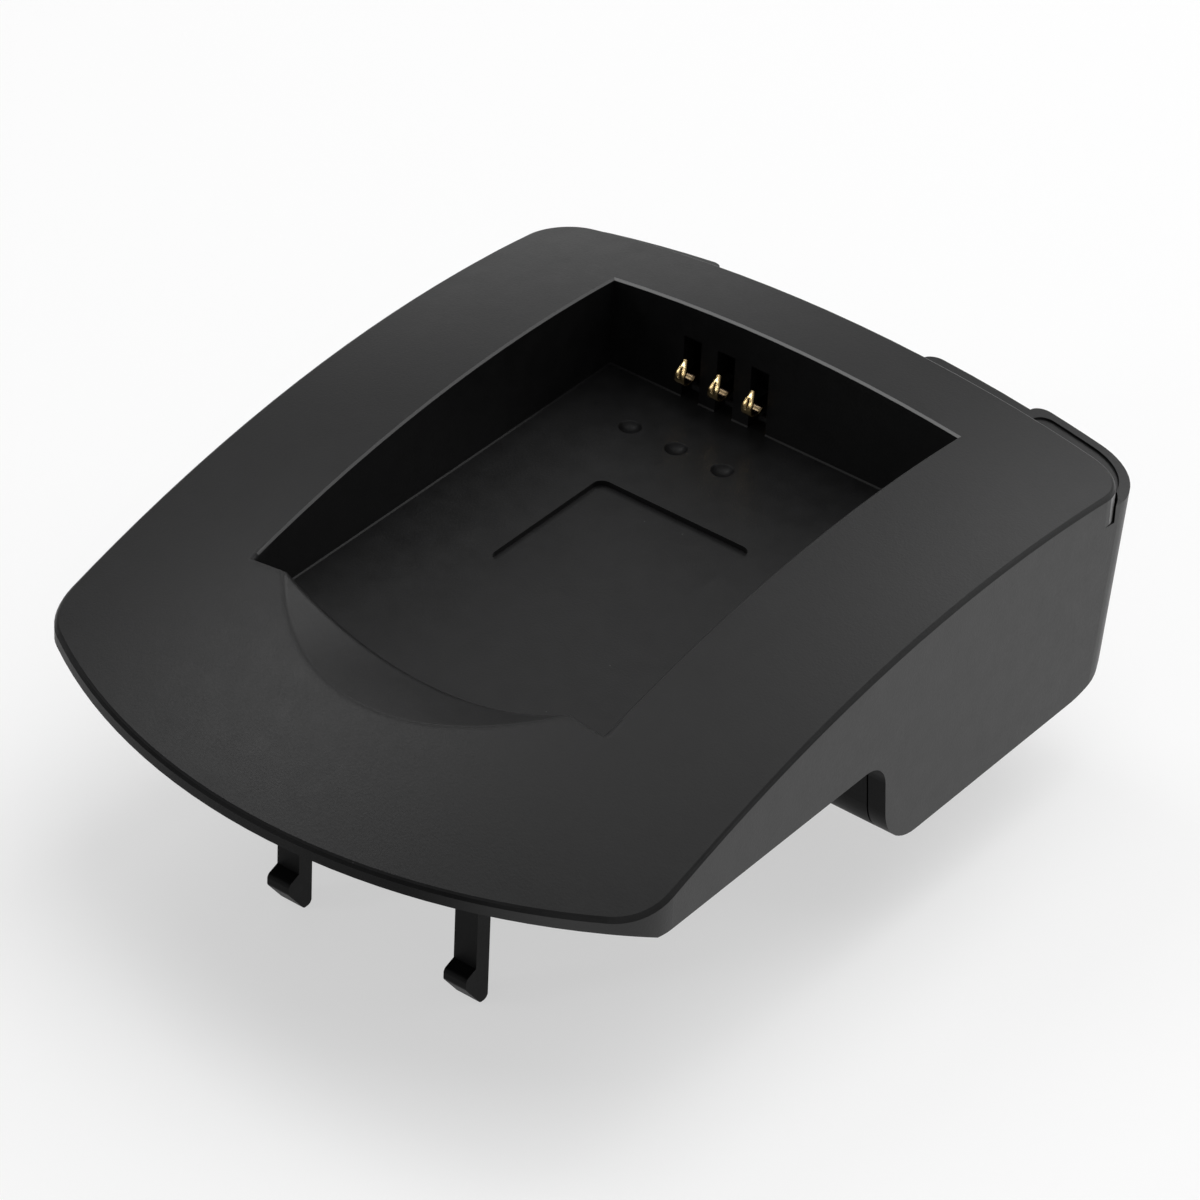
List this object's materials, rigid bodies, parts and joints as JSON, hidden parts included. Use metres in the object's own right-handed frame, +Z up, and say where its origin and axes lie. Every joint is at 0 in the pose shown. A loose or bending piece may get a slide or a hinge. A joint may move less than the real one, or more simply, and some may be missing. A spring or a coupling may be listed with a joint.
{
  "type": "camera battery charger plate",
  "caption": "Crowned clip-on charger plate with an open battery bay, spring contacts in a slotted wall, a thumb scoop, a deep rear block and latch hooks under the front.",
  "frame": {"origin": "battery datum: middle of the contact wall of the bay at floor level", "axes": "+X right, +Y from the thumb scoop towards the contacts, +Z up out of the bay"},
  "size_m": [0.0636, 0.0818, 0.0341],
  "materials": {
    "shell_black": "fine matte texture",
    "cover_black": "satin",
    "contact_gold": "gold plated, polished",
    "carrier_grey": "matte",
    "board_green": "solder mask",
    "chip_black": "gloss",
    "screw_steel": "plain zinc plated"
  },
  "bodies": {
    "plate": {"top_shell": "shell_black", "bottom_cover": "cover_black", "contact_carrier": "carrier_grey", "circuit_board": "board_green", "chip_resistors": "chip_black", "base_contact_positive": "contact_gold", "base_contact_sense": "contact_gold", "base_contact_negative": "contact_gold", "cover_screws": "screw_steel"},
    "positive_leaf": {"battery_contact_positive": "contact_gold"},
    "sense_leaf": {"battery_contact_sense": "contact_gold"},
    "negative_leaf": {"battery_contact_negative": "contact_gold"}
  },
  "joints": [
    {"name": "positive_leaf_flex", "type": "hinge", "parent": "plate", "child": "positive_leaf", "pos_m": [-0.00967, 0.00232, -0.00175], "axis": [-1, 0, 0], "range_deg": [0, 12], "stiffness_Nm_per_rad": 0.02},
    {"name": "sense_leaf_flex", "type": "hinge", "parent": "plate", "child": "sense_leaf", "pos_m": [-0.006, 0.00232, -0.00175], "axis": [-1, 0, 0], "range_deg": [0, 12], "stiffness_Nm_per_rad": 0.02},
    {"name": "negative_leaf_flex", "type": "hinge", "parent": "plate", "child": "negative_leaf", "pos_m": [-0.00233, 0.00232, -0.00175], "axis": [-1, 0, 0], "range_deg": [0, 12], "stiffness_Nm_per_rad": 0.02}
  ]
}
